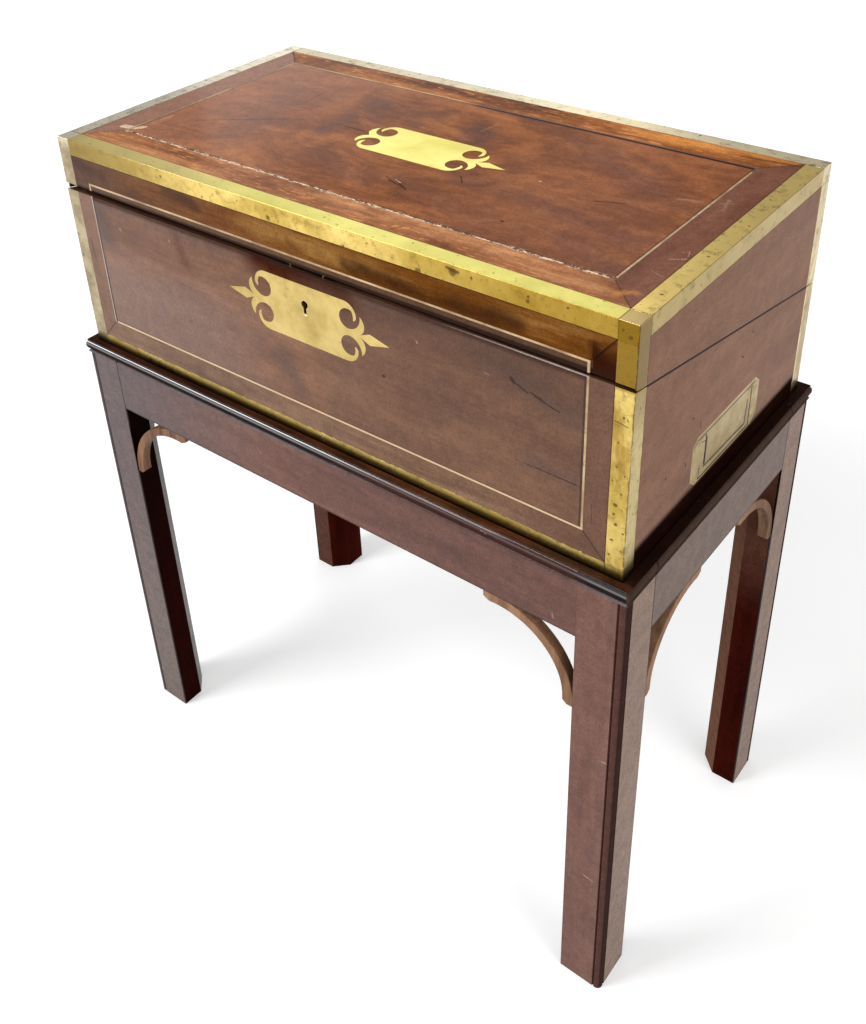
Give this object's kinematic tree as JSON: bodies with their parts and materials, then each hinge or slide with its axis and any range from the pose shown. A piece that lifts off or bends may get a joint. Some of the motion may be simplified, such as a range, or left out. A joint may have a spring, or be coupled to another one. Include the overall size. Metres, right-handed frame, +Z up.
{
  "type": "campaign desk",
  "caption": "Brass-bound mahogany writing box with sloping hinged lid, folding writing flaps, lock and drop handles, lifting out of the moulded rim of a low stand.",
  "frame": {"origin": "on the floor, under the middle of the stand", "axes": "+X along the front to the right, -Y out of the front, +Z up"},
  "size_m": [0.5184, 0.2774, 0.602],
  "materials": {
    "stand_mahogany": "french polished",
    "case_mahogany": "french polished",
    "inside_mahogany": "waxed",
    "panel_veneer": "french polished flame veneer",
    "banding_veneer": "french polished cross banding",
    "brass_string": "polished",
    "brass_binding": "polished, old",
    "brass_plate": "polished",
    "brass_fitting": "plain",
    "lock_steel": "plain",
    "writing_leather": "smooth",
    "bottle_glass": "clear"
  },
  "bodies": {
    "stand": {"leg_front_left": "stand_mahogany", "leg_front_right": "stand_mahogany", "leg_back_left": "stand_mahogany", "leg_back_right": "stand_mahogany", "apron_front": "stand_mahogany", "apron_back": "stand_mahogany", "apron_left": "stand_mahogany", "apron_right": "stand_mahogany", "stand_deck": "stand_mahogany", "brackets_front": "stand_mahogany", "brackets_back": "stand_mahogany", "brackets_ends": "stand_mahogany"},
    "box": {"base_front_board": "case_mahogany", "base_back_board": "case_mahogany", "base_left_end": "case_mahogany", "base_right_end": "case_mahogany", "base_bottom_board": "inside_mahogany", "base_front_panel": "panel_veneer", "base_front_banding": "banding_veneer", "base_front_string": "brass_string", "base_corner_strips": "brass_binding", "base_foot_strip": "brass_binding", "escutcheon": "brass_plate", "lock_case": "lock_steel", "handle_plate_left": "brass_plate", "handle_plate_right": "brass_plate", "box_screws": "brass_fitting", "hinge_lower_leaves": "brass_fitting", "base_flap_ledges": "inside_mahogany", "tray_floor": "inside_mahogany", "partition_board": "inside_mahogany", "pen_tray": "inside_mahogany", "ink_bottles": "bottle_glass", "ink_bottle_caps": "brass_fitting"},
    "lid": {"lid_top_board": "case_mahogany", "lid_front_rail": "case_mahogany", "lid_back_board": "case_mahogany", "lid_left_end": "case_mahogany", "lid_right_end": "case_mahogany", "lid_top_panel": "panel_veneer", "lid_top_string": "brass_string", "lid_top_banding": "banding_veneer", "lid_front_panel": "panel_veneer", "lid_front_string": "brass_string", "lid_front_banding": "banding_veneer", "lid_edging": "brass_binding", "lid_corner_pieces": "brass_binding", "lid_ornament": "brass_plate", "lock_link_plate": "brass_fitting", "hinge_upper_leaves": "brass_fitting", "lid_screws": "brass_fitting", "lid_flap_ledges": "inside_mahogany"},
    "base_flap": {"base_flap_board": "inside_mahogany", "base_flap_leather": "writing_leather"},
    "lid_flap": {"lid_flap_board": "inside_mahogany", "lid_flap_leather": "writing_leather"},
    "lock_bolt": {"lock_bolt": "lock_steel"},
    "bail_left": {"handle_bail_left": "brass_plate"},
    "bail_right": {"handle_bail_right": "brass_plate"}
  },
  "joints": [
    {"name": "box_lift", "type": "slide", "parent": "stand", "child": "box", "axis": [0, 0, 1], "range_m": [0, 0.03]},
    {"name": "lid_hinge", "type": "hinge", "parent": "box", "child": "lid", "pos_m": [0, 0.1336, 0.50926], "axis": [-1, 0, 0], "range_deg": [0, 172]},
    {"name": "base_flap_hinge", "type": "hinge", "parent": "box", "child": "base_flap", "pos_m": [0, 0.11355, 0.50873], "axis": [-1, 0, 0], "range_deg": [0, 62]},
    {"name": "lid_flap_hinge", "type": "hinge", "parent": "lid", "child": "lid_flap", "pos_m": [0, 0.11504, 0.51659], "axis": [1, 0, 0], "range_deg": [0, 62]},
    {"name": "lock_bolt_slide", "type": "slide", "parent": "box", "child": "lock_bolt", "axis": [1, 0, 0], "range_m": [0, 0.005]},
    {"name": "left_handle_hinge", "type": "hinge", "parent": "box", "child": "bail_left", "pos_m": [-0.2482, 0.0021, 0.4691], "axis": [0, 1, 0], "range_deg": [0, 90]},
    {"name": "right_handle_hinge", "type": "hinge", "parent": "box", "child": "bail_right", "pos_m": [0.2482, 0.0021, 0.4691], "axis": [0, -1, 0], "range_deg": [0, 90]}
  ],
  "couplings": [
    {"joint": "base_flap_hinge", "follows": "lid_hinge", "ratio": 0.35},
    {"joint": "lid_flap_hinge", "follows": "lid_hinge", "ratio": 0.35}
  ]
}
